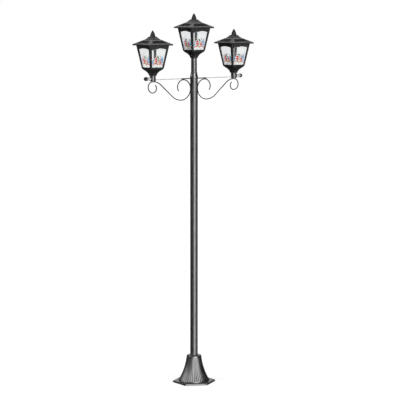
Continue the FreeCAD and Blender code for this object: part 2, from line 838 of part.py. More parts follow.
def make_light_case(name, x, z):
    """Square tray under the roof with the round lamp case that hangs from it."""
    body = new_body(f"light_case_{name}")
    under = body_top - cell("tray_thick")
    sketch = sketch_on(body, "XY_Plane", under)
    half = cell("tray") / 2
    draw_rectangle(sketch, -half, half, -half, half)
    pad(body, sketch, cell("tray_thick"))
    low = body_top - cell("lamp_case_drop") - cell("tray_thick")
    case = cell("lamp_case") / 2
    turn(body, [(0, low), (case - 2, low), (case, low + 2), (case, under + 1), (0, under + 1)])
    bore, well, plug = cell("lamp_case_bore") / 2, cell("lamp_well") / 2, cell("lens_plug") / 2
    floor = low + cell("lamp_floor")
    ledge = floor + cell("lamp_well_depth")
    turn(body, [(0, low), (plug, low), (plug, floor), (well, floor), (well, ledge), (bore, ledge),
                (bore, body_top), (0, body_top)], cut=True)
    sketch = sketch_on(body, "XY_Plane", low - 1)
    draw_circle(sketch, 0, -cell("switch_offset"), cell("switch_stem") + cell("switch_slip") * 2)
    cut_through(body, sketch, length=cell("lamp_floor") + 2, other_way=True)
    place(body, x, z)


def make_light(name, x, z):
    """Lens, circuit board, battery and push switch of one lamp case."""
    low = body_top - cell("lamp_case_drop") - cell("tray_thick")
    floor = low + cell("lamp_floor")
    ledge = floor + cell("lamp_well_depth")
    lens = new_body(f"lens_{name}")
    radius, plug = cell("lens") / 2, cell("lens_plug") / 2 - cell("slip")
    drop = cell("lens_drop")
    dome = (radius * radius + drop * drop) / (drop * 2)
    turn(lens, [(0, low - drop, dome, "left"), (radius, low), (plug, low), (plug, floor), (0, floor)])
    place(lens, x, z)
    board = new_body(f"circuit_board_{name}")
    turn(board, [(0, ledge), (cell("lamp_case_bore") / 2 - cell("slip"), ledge),
                 (cell("lamp_case_bore") / 2 - cell("slip"), ledge + cell("board_thick")),
                 (0, ledge + cell("board_thick"))])
    place(board, x, z)
    battery = new_body(f"battery_{name}")
    half, width, pip = cell("battery_length") / 2, cell("battery") / 2, cell("battery") / 5
    turn(battery, [(0, -half), (width - 0.5, -half), (width, 0.5 - half), (width, half - 2),
                   (width - 0.5, half - 1.5), (pip, half - 1.5), (pip, half), (0, half)])
    place(battery, x, z + ledge + cell("board_thick") + width, ALONG_X)
    switch = new_body(f"switch_{name}")
    stem, flange = cell("switch_stem") / 2, cell("switch_flange") / 2
    rest = floor + cell("weld")
    turn(switch, [(0, low - cell("switch_drop")), (stem - 0.8, low - cell("switch_drop")),
                  (stem, low - cell("switch_drop") + 0.8), (stem, rest), (flange, rest),
                  (flange, rest + cell("switch_flange_thick")), (0, rest + cell("switch_flange_thick"))])
    switch.Placement = Placement()
    place(switch, x, z)
    bind(switch, "Placement.Base.y", -cell("switch_offset"))


make_base_plate()
make_base_bolt()
make_base_socket()
make_base_bell()
make_post()
make_arm_hub()
make_reducer()
make_stem()
make_stem_screw()
for side, (direction, turned_round, lying_out) in SIDES.items():
    make_scroll(side, turned_round)
    make_tie(side, direction, lying_out)
    make_neck(side, direction, turned_round)
    make_clamp(side, direction, lying_out)
for head, offset, seat in (("left", -cell("arm_reach"), side_seat), ("center", as_size(0), seat_level),
                           ("right", cell("arm_reach"), side_seat)):
    for make in (make_funnel, make_frame, make_panes, make_roof, make_solar_cells, make_finial,
                 make_light_case, make_light):
        make(head, offset, seat)


# ---------------------------------------------------------------- checks and files

def write_parts():
    doc.recompute()
    faults = [thing.Name for thing in doc.Objects
              if {"Invalid", "Error"} & set(thing.State)]
    bodies = [thing for thing in doc.Objects if thing.TypeId == "PartDesign::Body"]
    faults += [body.Label for body in bodies if body.Shape.isNull() or not body.Shape.isValid()]
    if faults:
        raise RuntimeError("failed: " + ", ".join(faults))
    os.makedirs("parts", exist_ok=True)
    for body in bodies:
        body.Shape.exportStep(f"parts/{body.Label}.step")
        print(f"{body.Label:24} solids {len(body.Shape.Solids)}  volume {body.Shape.Volume:10.1f}")
    print(len(bodies), "parts written")


write_parts()
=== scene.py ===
# %% [markdown]
# # A garden lamp post with three lanterns
#
# This lesson dresses a finished CAD model of a garden lamp post: a hexagonal foot plate, a fluted
# bell, a tube post, two scrolls of bent wire and three square lanterns with solar roofs. Places
# and sizes are read from the CAD nodes, or repeat the drawing's own values, so each new piece
# fits. Blender adds what a machine drawing leaves out: paint, glass, print, flutes and thin trim.

# %% Load the frame
import json
import math
import random

import bmesh
import bpy
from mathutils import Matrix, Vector


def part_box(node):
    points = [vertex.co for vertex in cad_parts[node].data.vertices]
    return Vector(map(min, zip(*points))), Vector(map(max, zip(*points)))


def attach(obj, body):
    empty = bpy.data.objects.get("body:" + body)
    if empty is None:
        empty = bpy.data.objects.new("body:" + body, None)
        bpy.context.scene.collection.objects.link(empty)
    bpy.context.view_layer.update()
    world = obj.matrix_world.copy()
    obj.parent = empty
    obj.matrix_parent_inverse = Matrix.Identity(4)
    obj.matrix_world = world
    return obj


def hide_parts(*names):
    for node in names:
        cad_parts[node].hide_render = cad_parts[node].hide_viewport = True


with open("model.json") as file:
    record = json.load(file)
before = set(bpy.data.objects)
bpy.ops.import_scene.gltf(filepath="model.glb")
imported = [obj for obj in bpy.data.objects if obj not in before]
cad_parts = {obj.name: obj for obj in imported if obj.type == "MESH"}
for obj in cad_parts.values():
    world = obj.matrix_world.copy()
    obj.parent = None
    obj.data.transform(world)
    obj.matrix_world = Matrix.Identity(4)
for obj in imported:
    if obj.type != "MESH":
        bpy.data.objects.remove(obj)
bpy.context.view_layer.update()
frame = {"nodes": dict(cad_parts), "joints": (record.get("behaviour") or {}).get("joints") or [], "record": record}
MM = 0.001
scene = bpy.context.scene

# %% [markdown]
# ## Camera
#
# The place and the lens were solved from the picture: the finials, the eave corners and the foot
# plate give eight and a half metres of distance, a long lens and a look that tilts seven degrees
# down. It is set first, because every later choice is judged through it.

# %% Camera
PHOTO_WIDTH = 400               # pixels
FOCAL_LENGTH = 1728.61          # pixels
SENSOR = 36.0                   # millimetres
CAMERA_PLACE = (-5.0994, -6.8615, 1.9748)
CAMERA_AZIMUTH, CAMERA_TILT = -36.62, 7.01
camera_data = bpy.data.cameras.new("photo_camera")
camera_data.sensor_width = SENSOR
camera_data.lens = FOCAL_LENGTH / PHOTO_WIDTH * SENSOR
camera_data.shift_x = 0.015
camera_data.clip_start, camera_data.clip_end = 0.1, 60
camera = bpy.data.objects.new("photo_camera", camera_data)
camera.location = CAMERA_PLACE
camera.rotation_euler = (math.radians(90 - CAMERA_TILT), 0, math.radians(CAMERA_AZIMUTH))
scene.collection.objects.link(camera)
scene.camera = camera
print("camera: lens %.2f mm" % camera_data.lens)

# %% [markdown]
# ## Studio
#
# Three soft boxes light the post at a plain level: a key to the right of the camera, a fill on the
# left and a large one overhead. A lamp that the enamel mirrors would draw its own highlight, so
# mirrored rays pass the boxes. Only the cards further down are mirrored, and each highlight can be
# placed by itself.

# %% Soft boxes
def soft_box(name, azimuth, distance, height, width, tall, radiance):
    """A rectangular area lamp that looks at the post from an azimuth, -Y being 0."""
    data = bpy.data.lights.new(name, "AREA")
    data.shape = "RECTANGLE"
    data.size, data.size_y = width, tall
    data.energy = radiance * math.pi * width * tall
    lamp = bpy.data.objects.new(name, data)
    turn = math.radians(azimuth)
    lamp.location = (math.sin(turn) * distance, -math.cos(turn) * distance, height)
    lamp.rotation_euler = (math.radians(90), 0, turn)
    lamp.visible_camera = lamp.visible_glossy = False
    scene.collection.objects.link(lamp)
    return lamp


soft_box("key_box", CAMERA_AZIMUTH + 40, distance=3.0, height=1.5, width=1.8, tall=2.8,
         radiance=4.2)
soft_box("left_box", CAMERA_AZIMUTH - 62, distance=5.0, height=1.5, width=2.8, tall=4.0,
         radiance=6.0)
overhead = soft_box("overhead_box", 0, distance=0, height=4.4, width=2.6, tall=2.6, radiance=2.6)
overhead.rotation_euler = (0, 0, 0)
print("soft boxes:", len(bpy.data.lights))

# %% [markdown]
# ## Helpers for nodes
#
# The room and every finish are trees of nodes, and the same few steps come back in each: add a
# node, feed its sockets, map a value from one range to another, mix two colours. With a small
# function for each step a tree reads like the idea behind it.

# %% Nodes by name
def plug(tree, socket, term):
    """Links the socket where the term is a node's output, and otherwise sets its value."""
    if isinstance(term, bpy.types.NodeSocket):
        tree.links.new(term, socket)
    else:
        socket.default_value = term


def feed(tree, node, **terms):
    """Plugs a node's inputs by name, with _ for each space."""
    for name, term in terms.items():
        plug(tree, node.inputs[name.replace("_", " ")], term)


def add_node(tree, kind, **values):
    """Adds a node, sets its attributes and feeds its inputs, both by name."""
    node = tree.nodes.new(kind)
    for name, value in values.items():
        if hasattr(node, name):
            setattr(node, name, value)
        else:
            feed(tree, node, **{name: value})
    return node


def object_place(tree):
    """The place on the object, which stays with the surface in every view."""
    return add_node(tree, "ShaderNodeTexCoord").outputs["Object"]


# %% Sums, ranges and mixes
def add_math(tree, operation, *terms, clamp=False):
    """Adds a Math node. A term is a number or another node's output."""
    node = add_node(tree, "ShaderNodeMath", operation=operation, use_clamp=clamp)
    for socket, term in zip(node.inputs, terms):
        plug(tree, socket, term)
    return node.outputs[0]


def vector_math(tree, operation, *terms):
    """Adds a Vector Math node, and gives its number where the operation makes one."""
    node = add_node(tree, "ShaderNodeVectorMath", operation=operation)
    for socket, term in zip(node.inputs, terms):
        plug(tree, socket, term)
    return node.outputs["Value" if operation in ("DOT_PRODUCT", "LENGTH") else "Vector"]


def ramp(tree, value, start, end, low=0.0, high=1.0, smooth=False):
    """Maps start..end to low..high, and stays level outside that range."""
    node = add_node(tree, "ShaderNodeMapRange", From_Min=start, From_Max=end, To_Min=low,
                    To_Max=high, Value=value)
    node.interpolation_type = "SMOOTHSTEP" if smooth else "LINEAR"
    return node.outputs[0]


def mix_colors(tree, share, first, second, blend="MIX"):
    """Mixes two colours. The Mix node's sockets share their names, so they go by number."""
    node = add_node(tree, "ShaderNodeMix", data_type="RGBA", blend_type=blend)
    for number, term in ((0, share), (6, first), (7, second)):
        plug(tree, node.inputs[number], term)
    return node.outputs[2]


def noise(tree, place, scale, detail, roughness=0.5):
    """Cloudy noise between 0 and 1."""
    return add_node(tree, "ShaderNodeTexNoise", Vector=place, Scale=scale, Detail=detail,
                    Roughness=roughness).outputs["Fac"]


def direct_rays(tree):
    """1 for rays from the camera and rays that came through glass, 0 for the others."""
    path = add_node(tree, "ShaderNodeLightPath").outputs
    return add_math(tree, "MAXIMUM", path["Is Camera Ray"], path["Is Transmission Ray"])


# %% [markdown]
# ## Room
#
# Black enamel shows nothing but what it mirrors. Real studios stand pale cards round such a piece,
# and four of them stand in this world for mirrored rays alone: the backdrop behind the post, a tall
# card right of the camera that draws the bright stripe on the tube, a high one on the left that
# only the flare of the bell turns towards, and a low one far right for the front faces of the
# lanterns. Cards in the world cost no objects, and they stay clear of the camera, which sees white
# all round, as the glass does.

# %% Room for rays
ROOM_LEVEL, DARK_LEVEL = 0.30, 0.03
world = bpy.data.worlds.new("studio_room")
scene.world = world
world.use_nodes = True
room = world.node_tree
room.nodes.clear()
direction = add_node(room, "ShaderNodeTexCoord").outputs["Generated"]
height = add_node(room, "ShaderNodeSeparateXYZ", Vector=direction).outputs["Z"]
compass = vector_math(room, "NORMALIZE", vector_math(room, "MULTIPLY", direction, (1, 1, 0)))
print("room:", world.name, "at", ROOM_LEVEL)

# %% Cards
CARD_RIM = 0.05                 # soft rim at foot and top, as a sine
CARDS = {                       # azimuth from camera, half width, foot, top, level, soft side
    "backdrop": (180, 16, -12, 22, 1.0, 5),
    "stripe": (21, 14, -28, 50, 4.4, 12),
    "flare": (-76, 20, 16, 54, 2.5, 6),
    "fronts": (74, 20, -44, -13, 0.95, 8)}


def card(azimuth, half_width, low, high, level, soft):
    """A card by its azimuth from the camera, its half width and its edges, all in degrees."""
    turn = math.radians(CAMERA_AZIMUTH + azimuth)
    toward = vector_math(room, "DOT_PRODUCT", compass, (math.sin(turn), -math.cos(turn), 0))
    outer = math.cos(math.radians(half_width + soft))
    inner = math.cos(math.radians(max(0, half_width - soft)))
    sides = ramp(room, toward, outer, inner, smooth=True)
    foot, top = (math.sin(math.radians(angle)) for angle in (low, high))
    above = ramp(room, height, foot - CARD_RIM, foot + CARD_RIM, smooth=True)
    below = ramp(room, height, top + CARD_RIM, top - CARD_RIM, smooth=True)
    shape = add_math(room, "MULTIPLY", sides, add_math(room, "MULTIPLY", above, below))
    return add_math(room, "MULTIPLY", shape, level)


cards = DARK_LEVEL - ROOM_LEVEL
for place in CARDS.values():
    cards = add_math(room, "ADD", cards, card(*place))
is_mirrored = add_node(room, "ShaderNodeLightPath").outputs["Is Glossy Ray"]
light = add_math(room, "ADD", add_math(room, "MULTIPLY", is_mirrored, cards), ROOM_LEVEL)
background = add_node(room, "ShaderNodeBackground", Color=(1, 1, 1, 1),
                      Strength=add_math(room, "MAXIMUM", light, direct_rays(room)))
add_node(room, "ShaderNodeOutputWorld", Surface=background.outputs[0])
scene.view_settings.view_transform = "Standard"
print("cards:", ", ".join(CARDS))

# %% [markdown]
# ## Floor
#
# The floor is a plain sheet. A pale sheet alone would show a horizon, so a glow that only the
# camera and the glass see lifts it to the white of the background, and the soft shadow of the
# plate stays on it. Mirrored rays pass it, so the cards reach down to the foot of the post.

# %% A material by its sockets
def new_finish(name, **sockets):
    """A material with its Principled shader, whose plain sockets are set by name."""
    material = bpy.data.materials.new(name)
    material.use_nodes = True
    tree = material.node_tree
    shader = tree.nodes["Principled BSDF"]
    feed(tree, shader, **sockets)
    return material, tree, shader


# %% Floor
FLOOR_SIZE, FLOOR_DROP = 40, 0.0004
GLOW_NEAR, GLOW_START, GLOW_FULL = 0.80, 0.3, 1.6


def clear_selection():
    """Leaves edit mode and selects nothing, before each new primitive."""
    if bpy.context.object and bpy.context.object.mode != "OBJECT":
        bpy.ops.object.mode_set(mode="OBJECT")
    bpy.ops.object.select_all(action="DESELECT")


clear_selection()
bpy.ops.mesh.primitive_plane_add(size=FLOOR_SIZE, location=(0, 0, -FLOOR_DROP))
floor = bpy.context.object
floor.name = "pale_floor"
floor.visible_glossy = False
floor_paint, tree, shader = new_finish(
    "pale_floor", Base_Color=(0.25, 0.25, 0.25, 1), Roughness=0.9, Specular_IOR_Level=0.1,
    Emission_Color=(1, 1, 1, 1))
away = vector_math(tree, "LENGTH", object_place(tree))
glow = ramp(tree, away, GLOW_START, GLOW_FULL, low=GLOW_NEAR, smooth=True)
feed(tree, shader, Emission_Strength=add_math(tree, "MULTIPLY", glow, direct_rays(tree)))
floor.data.materials.append(floor_paint)
print("floor:", FLOOR_SIZE, "m square")

# %% [markdown]
# ## Shared effects
#
# Three effects turn up on several finishes, so each is a node group: the orange peel, mottling and worn edges of a
# painted skin, a pale veil on what looks up, which is thin dust and, on the lantern roofs, also a painted sheen of
# the overhead light, and the seeded surface of cast glass. A group is built once and takes other numbers on each
# material.

# %% A maker of node groups
COLOR, NUMBER, VECTOR = "NodeSocketColor", "NodeSocketFloat", "NodeSocketVector"


def new_group(name, inputs, outputs):
    """An empty shader node group, with the sockets it is given and those it makes."""
    group = bpy.data.node_groups.new(name, "ShaderNodeTree")
    for way, sockets in (("INPUT", inputs), ("OUTPUT", outputs)):
        for label, kind, *start in sockets:
            socket = group.interface.new_socket(label, in_out=way, socket_type=kind)
            if start:
                socket.default_value = start[0]
    given = group.nodes.new("NodeGroupInput").outputs
    return group, given, group.nodes.new("NodeGroupOutput")


# %% [markdown]
# Sprayed paint is never one tone. Clouds a few centimetres wide shift its colour and its gloss a
# little, a fine ripple, the orange peel, bends its highlights, and the primer shows at sharp edges
# where things rub. The Bevel node finds those edges: where its rounded normal leaves the true one,
# the surface turns within a millimetre.

# %% Painted skin
EDGE_WIDTH, EDGE_START, EDGE_FULL = 0.0009, 0.995, 0.90     # metres, then cosines of the bend
CLOUD_TONE, CLOUD_DULL = (0.02, 0.02, 0.021, 1), 0.10
PEEL_HEIGHT = 0.0004
paint_skin, given, made = new_group(
    "paint_skin",
    [("Paint", COLOR, (0.02, 0.02, 0.02, 1)), ("Bare", COLOR, (0.2, 0.2, 0.2, 1)),
     ("Roughness", NUMBER, 0.35), ("Peel Scale", NUMBER, 900.0), ("Peel Depth", NUMBER, 0.05),
     ("Mottle", NUMBER, 0.3), ("Wear", NUMBER, 0.3)],
    [("Color", COLOR), ("Roughness", NUMBER), ("Normal", VECTOR)])
place_in = object_place(paint_skin)
cloud = ramp(paint_skin, noise(paint_skin, place_in, 16.0, 5.0, 0.6), 0.35, 0.65)
shade = add_math(paint_skin, "MULTIPLY", cloud, given["Mottle"])
lighter = mix_colors(paint_skin, shade, given["Paint"], CLOUD_TONE, blend="ADD")
rounded = add_node(paint_skin, "ShaderNodeBevel", samples=4, Radius=EDGE_WIDTH).outputs[0]
true_face = add_node(paint_skin, "ShaderNodeNewGeometry").outputs["Normal"]
facing = vector_math(paint_skin, "DOT_PRODUCT", rounded, true_face)
edge = ramp(paint_skin, facing, EDGE_START, EDGE_FULL)
scuff = noise(paint_skin, place_in, 120.0, 3.0)
worn = add_math(paint_skin, "MULTIPLY", add_math(paint_skin, "MULTIPLY", edge, scuff),
                given["Wear"])
dull = add_math(paint_skin, "MULTIPLY_ADD", cloud, CLOUD_DULL, given["Roughness"])
peel = noise(paint_skin, place_in, given["Peel Scale"], 2.0)
ripple = add_node(paint_skin, "ShaderNodeBump", Distance=PEEL_HEIGHT, Height=peel,
                  Strength=given["Peel Depth"], Normal=rounded)
feed(paint_skin, made, Color=mix_colors(paint_skin, worn, lighter, given["Bare"]),
     Roughness=dull, Normal=ripple.outputs[0])
print("group:", paint_skin.name)

# %% [markdown]
# A pale veil lies only on what looks up. It is thin dust, and where it is laid thick, on the lantern roofs, it is
# also a painted sheen that stands in for the overhead light on the slopes. The height of the surface's normal says
# how much it does, and a drifting noise keeps the veil from lying evenly.

# %% Dust and painted sheen on top
# one pale grey for both the dust and the painted sheen
DUST_AND_SHEEN_TONE = (0.42, 0.42, 0.41, 1)
dust_and_sheen_veil, given, made = new_group(
    "dust_and_sheen_veil",
    [("Color", COLOR), ("Roughness", NUMBER, 0.4), ("Amount", NUMBER, 0.3)],
    [("Color", COLOR), ("Roughness", NUMBER)])
face = add_node(dust_and_sheen_veil, "ShaderNodeNewGeometry").outputs["Normal"]
upward = add_node(dust_and_sheen_veil, "ShaderNodeSeparateXYZ", Vector=face).outputs["Z"]
looks_up = ramp(dust_and_sheen_veil, upward, 0.6, 0.92)
drift = noise(dust_and_sheen_veil, object_place(dust_and_sheen_veil), 30.0, 4.0)
# painted sheen: what looks up is lightened as if lit from above, together with the dust
dust_and_sheen_share = add_math(dust_and_sheen_veil, "MULTIPLY", looks_up, ramp(dust_and_sheen_veil, drift, 0.3, 0.7, 0.35, 0.65))
veil = add_math(dust_and_sheen_veil, "MULTIPLY", dust_and_sheen_share, given["Amount"], clamp=True)
feed(dust_and_sheen_veil, made, Color=mix_colors(dust_and_sheen_veil, veil, given["Color"], DUST_AND_SHEEN_TONE),
     Roughness=add_math(dust_and_sheen_veil, "ADD", veil, given["Roughness"], clamp=True))
print("group:", dust_and_sheen_veil.name)

# %% [markdown]
# Seeded glass is full of small dents and bubbles. Smooth cells make them, and a slow noise pulls
# the cells about first, so that they don't lie in rows. Each dent bends what is behind it and is a
# trace darker at its rim.

# %% Seeded glass
CELL_PULL = (0.004, 0.004, 0.004)
SEED_HEIGHT, RIM_TONE = 0.0005, 0.92
seeded_glass, given, made = new_group(
    "seeded_glass",
    [("Tint", COLOR, (0.9, 0.9, 0.9, 1)), ("Seed Scale", NUMBER, 260.0), ("Depth", NUMBER, 0.6)],
    [("Color", COLOR), ("Normal", VECTOR)])
place_in = object_place(seeded_glass)
wander = add_node(seeded_glass, "ShaderNodeTexNoise", Vector=place_in, Scale=90.0, Detail=2.0)
pulled = vector_math(seeded_glass, "MULTIPLY_ADD", wander.outputs["Color"], CELL_PULL, place_in)
seeds = add_node(seeded_glass, "ShaderNodeTexVoronoi", feature="SMOOTH_F1", Vector=pulled,
                 Scale=given["Seed Scale"]).outputs["Distance"]
relief = add_node(seeded_glass, "ShaderNodeBump", Distance=SEED_HEIGHT, Height=seeds,
                  Strength=given["Depth"])
deeper = ramp(seeded_glass, seeds, 0.0, 0.7, 1.0, RIM_TONE)
feed(seeded_glass, made, Normal=relief.outputs[0],
     Color=mix_colors(seeded_glass, 1.0, given["Tint"], deeper, blend="MULTIPLY"))
print("groups:", [group.name for group in bpy.data.node_groups])

# %% [markdown]
# ## Finishes
#
# Each finish is one Principled shader. Painted steel, the moulded shell and the foot plate share the painted skin
# with their own numbers: the tube is satin, the bell and the plate are glossier, the wire is plain, and the
# moulding is duller and carries a thicker pale veil on top, part dust and part painted sheen. Black enamel lives
# by its highlights, so it has a high index of refraction and a glossier clear coat on top.

# %% A maker of painted finishes
def painted(name, paint, bare, roughness, peel=(900, 0.05), mottle=0.3, wear=0.3, dust_and_sheen=0.2,
            **plain):
    """A painted or moulded skin with a pale veil on top: dust, and where it is thick a painted sheen."""
    material, tree, shader = new_finish(name, **plain)
    skin = add_node(tree, "ShaderNodeGroup", node_tree=paint_skin, Paint=(*paint, 1),
                    Bare=(*bare, 1), Roughness=roughness, Peel_Scale=peel[0],
                    Peel_Depth=peel[1], Mottle=mottle, Wear=wear).outputs
    veil = add_node(tree, "ShaderNodeGroup", node_tree=dust_and_sheen_veil, Color=skin["Color"],
                    Roughness=skin["Roughness"], Amount=dust_and_sheen).outputs
    feed(tree, shader, Base_Color=veil["Color"], Roughness=veil["Roughness"],
         Normal=skin["Normal"])
    return material


# %% Painted and moulded finishes
finishes = {}
finishes["post_paint"] = painted(
    "satin_enamel", paint=(0.004, 0.004, 0.0042), bare=(0.20, 0.20, 0.20), roughness=0.42,
    peel=(900, 0.02), mottle=0.15, dust_and_sheen=0.08, IOR=2.2, Coat_Weight=0.6, Coat_Roughness=0.32)
wire_finish = painted(
    "wire_enamel", paint=(0.004, 0.004, 0.0042), bare=(0.15, 0.15, 0.15), roughness=0.5,
    peel=(900, 0.02), mottle=0.15, dust_and_sheen=0.05, IOR=1.5)
bell_finish = painted(
    "spun_enamel", paint=(0.006, 0.006, 0.0062), bare=(0.25, 0.25, 0.25), roughness=0.29,
    peel=(900, 0.02), mottle=0.2, dust_and_sheen=0.1, IOR=2.6, Coat_Weight=0.5, Coat_Roughness=0.25)
finishes["foot_plate"] = painted(
    "plate_enamel", paint=(0.008, 0.008, 0.0083), bare=(0.25, 0.25, 0.25), roughness=0.44,
    dust_and_sheen=0.12, IOR=2.4, Coat_Weight=0.5, Coat_Roughness=0.12)
# the shell's thick veil is a painted sheen of the overhead light on the roofs, as well as dust
finishes["lantern_shell"] = painted(
    "shell_moulding", paint=(0.009, 0.009, 0.0093), bare=(0.12, 0.12, 0.12), roughness=0.42,
    peel=(1500, 0.08), mottle=0.35, wear=0.5, dust_and_sheen=0.58, IOR=1.5)
finishes["knob_plastic"] = painted(
    "knob_moulding", paint=(0.006, 0.006, 0.006), bare=(0.06, 0.06, 0.06), roughness=0.45,
    peel=(1800, 0.1), dust_and_sheen=0.1)
finishes["lamp_case"] = painted(
    "case_moulding", paint=(0.03, 0.03, 0.032), bare=(0.12, 0.12, 0.12), roughness=0.45,
    peel=(1500, 0.1), dust_and_sheen=0.1)
print("painted:", ", ".join(finishes))

# %% [markdown]
# Bright zinc, turned alloy and plain tube steel are metals with a fine drawn grain: noise that is
# stretched along Z into streaks shifts both tone and roughness. A thin rod that is all mirror
# turns black wherever it meets no card, so the two bright ones are only partly metallic. The
# board, the battery's wrap and the switch cap are hidden most of the time, but they show when a
# roof is lifted off.

# %% Metals and the parts of the light
GRAIN_SCALE = (1400, 1400, 60)


def drawn_metal(name, tone, roughness, grain, metallic=1.0):
    """Metal with a fine grain along Z and small changes of tone."""
    material, tree, shader = new_finish(name, Metallic=metallic)
    stretch = add_node(tree, "ShaderNodeMapping", Vector=object_place(tree), Scale=GRAIN_SCALE)
    streak = noise(tree, stretch.outputs[0], 1.0, 4.0)
    dark, bright = (*(value * 0.75 for value in tone), 1), (*tone, 1)
    feed(tree, shader, Base_Color=mix_colors(tree, streak, dark, bright),
         Roughness=add_math(tree, "MULTIPLY_ADD", streak, grain, roughness))
    return material


finishes["bright_steel"] = drawn_metal(
    "bright_zinc", (0.86, 0.86, 0.86), roughness=0.25, grain=0.2, metallic=0.7)
finishes["bright_alloy"] = drawn_metal(
    "turned_alloy", (0.93, 0.93, 0.93), roughness=0.3, grain=0.15, metallic=0.35)
finishes["plain_steel"] = drawn_metal(
    "tube_steel", (0.45, 0.45, 0.46), roughness=0.35, grain=0.25)
finishes["board"] = painted(
    "board_lacquer", paint=(0.02, 0.13, 0.05), bare=(0.5, 0.35, 0.1), roughness=0.3,
    peel=(700, 0.2), mottle=0.5, dust_and_sheen=0)
finishes["battery_wrap"] = painted(
    "battery_film", paint=(0.05, 0.26, 0.13), bare=(0.5, 0.5, 0.5), roughness=0.25,
    peel=(300, 0.1), mottle=0.3, dust_and_sheen=0)
finishes["switch_rubber"] = painted(
    "switch_cap", paint=(0.03, 0.03, 0.03), bare=(0.08, 0.08, 0.08), roughness=0.6,
    peel=(1500, 0.2), mottle=0.4, dust_and_sheen=0)
print("finishes so far:", len(finishes))

# %% [markdown]
# The panes are seeded glass: cast against a hammered plate, so that small dents break up what is
# behind them. The lens is clearer. A little roughness stands for the skin of the cast.

# %% Glass
def glass(name, tint, scale, depth, roughness):
    """Clear glass with seeds of a scale and depth."""
    material, tree, shader = new_finish(name, Transmission_Weight=1.0, IOR=1.45,
                                        Roughness=roughness)
    cast = add_node(tree, "ShaderNodeGroup", node_tree=seeded_glass, Tint=(*tint, 1),
                    Seed_Scale=scale, Depth=depth).outputs
    feed(tree, shader, Base_Color=cast["Color"], Normal=cast["Normal"])
    return material


finishes["pane_glass"] = glass(
    "seeded_pane", tint=(0.96, 0.965, 0.97), scale=420, depth=0.08, roughness=0.05)
finishes["lens_clear"] = glass(
    "clear_lens", tint=(0.95, 0.95, 0.93), scale=900, depth=0.2, roughness=0.03)
print("glass:", finishes["pane_glass"].name, finishes["lens_clear"].name)

# %% [markdown]
# A solar cell is dark silicon under a clear skin, crossed by fine pale lines that gather the
# current. The crystals are the cells of a Voronoi texture. The lines repeat up the slope, so a
# ping-pong of Z, cut off just above zero, draws them on all four slopes alike.

# %% Solar cells
LINE_GAP, LINE_HALF = 0.0011, 0.00012
cell_finish, tree, shader = new_finish("solar_cell", Roughness=0.4, Coat_Weight=0.6,
                                       Coat_Roughness=0.06)
place_in = object_place(tree)
crystal = add_node(tree, "ShaderNodeTexVoronoi", Scale=180.0, Vector=place_in).outputs["Color"]
silicon = mix_colors(tree, crystal, (0.004, 0.005, 0.009, 1), (0.010, 0.012, 0.020, 1))
up = add_node(tree, "ShaderNodeSeparateXYZ", Vector=place_in).outputs["Z"]
line = add_math(tree, "LESS_THAN", add_math(tree, "PINGPONG", up, LINE_GAP), LINE_HALF)
feed(tree, shader, Base_Color=mix_colors(tree, line, silicon, (0.10, 0.105, 0.11, 1)))
finishes["solar_cell"] = cell_finish
print("cell lines every", LINE_GAP * 2 / MM, "mm")

# %% [markdown]
# The record names a material slot for each CAD node, and the slot names the finish, so a node that
# is added to the drawing is dressed without another line here. Three kinds of node depart from
# their slot: the reducer is as glossy as the bell, and the bent wire and its sleeves are plainer
# than the tube.

# %% Every CAD node gets its finish
slot_of = {part["node"]: part["material_slot"] for part in frame["record"]["subparts"]}
for name, node in frame["nodes"].items():
    node.data.materials.clear()
    node.data.materials.append(finishes[slot_of[name]])
frame["nodes"]["reducer"].data.materials[0] = bell_finish
for side in ("left", "right"):
    for wire in ("scroll", "tie_sleeve"):
        frame["nodes"][f"{wire}_{side}"].data.materials[0] = wire_finish
print("finished:", len(slot_of), "nodes in", len(finishes), "finishes")

# %% [markdown]
# ## Tools for shaping
#
# Bell, cap and spire all start as a ring or a square that is drawn up level by level. A spun
# profile would give the same outline, but here every point keeps its column, so that single
# columns can be pulled in afterwards for flutes and grooves.

# %% Draw up and pull in
def select_points(rule):
    """Selects, in the mesh being edited, the points whose place passes the rule."""
    mesh = bmesh.from_edit_mesh(bpy.context.object.data)
    mesh.select_mode = {"VERT"}
    for point in mesh.verts:
        point.select = bool(rule(point.co))
    mesh.select_flush_mode()
    bmesh.update_edit_mesh(bpy.context.object.data)


def draw_up(levels):
    """Edits the new shape, and extrudes it through its (height, radius) levels in millimetres."""
    bpy.ops.object.transform_apply(location=True)
    bpy.ops.object.mode_set(mode="EDIT")
    bpy.ops.mesh.select_all(action="SELECT")
    (height, radius), *rest = levels
    for next_height, next_radius in rest:
        bpy.ops.mesh.extrude_region_move(
            TRANSFORM_OT_translate={"value": (0, 0, (next_height - height) * MM)})
        if next_radius != radius:
            share = next_radius / radius
            bpy.ops.transform.resize(value=(share, share, 1),
                                     center_override=(0, 0, next_height * MM))
        height, radius = next_height, next_radius


def drawn_ring(levels, points, fill="NOTHING"):
    """A ring of points, drawn up through the levels and still in edit mode."""
    height, radius = levels[0]
    clear_selection()
    bpy.ops.mesh.primitive_circle_add(vertices=points, radius=radius * MM, fill_type=fill,
                                      location=(0, 0, height * MM))
    draw_up(levels)
    return bpy.context.object


def pull_in(height, share, points, every):
    """Scales every so many-th point of the ring at a height."""
    def in_a_groove(point):
        turn = math.atan2(point.y, point.x) / (2 * math.pi / points)
        return abs(point.z - height * MM) < 1e-5 and round(turn) % every == 0

    select_points(in_a_groove)
    bpy.ops.transform.resize(value=(share, share, 1), center_override=(0, 0, height * MM))


def end_shaping():
    """Turns all faces outward and leaves edit mode."""
    bpy.ops.mesh.select_all(action="SELECT")
    bpy.ops.mesh.normals_make_consistent(inside=False)
    bpy.ops.object.mode_set(mode="OBJECT")


